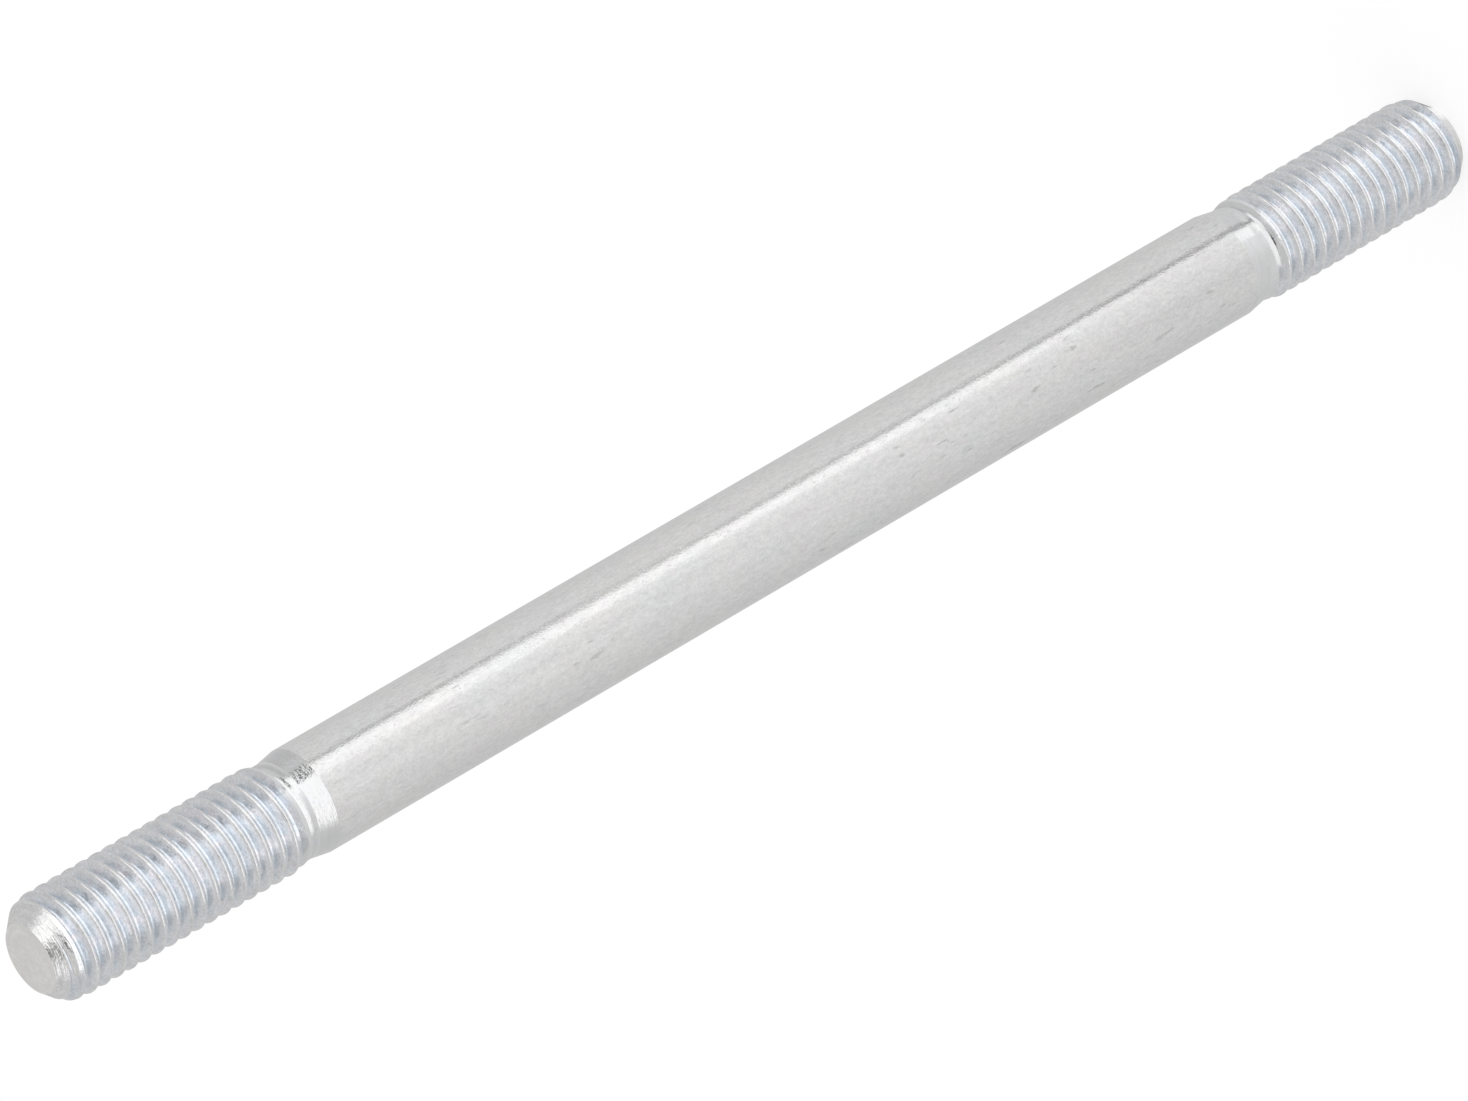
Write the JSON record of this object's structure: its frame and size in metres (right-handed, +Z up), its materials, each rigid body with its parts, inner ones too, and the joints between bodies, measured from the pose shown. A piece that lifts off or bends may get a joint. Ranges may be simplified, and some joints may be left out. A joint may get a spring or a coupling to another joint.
{
  "type": "double-ended stud bolt",
  "caption": "Plain steel rod with a coarse right-hand metric thread on each end, a short neck behind each thread and flat chamfered end faces.",
  "frame": {"origin": "centre of the lower end face, the end with the shorter thread", "axes": "+Z up the stud's axis, from the end with the shorter thread to the end with the longer thread; X and Y are free, because the stud is round"},
  "size_m": [0.0068, 0.0068, 0.1124],
  "materials": {
    "zinc_plated_steel": "bright zinc plating over turned bar and rolled threads"
  },
  "bodies": {
    "root": {"stud": "zinc_plated_steel"}
  },
  "joints": []
}
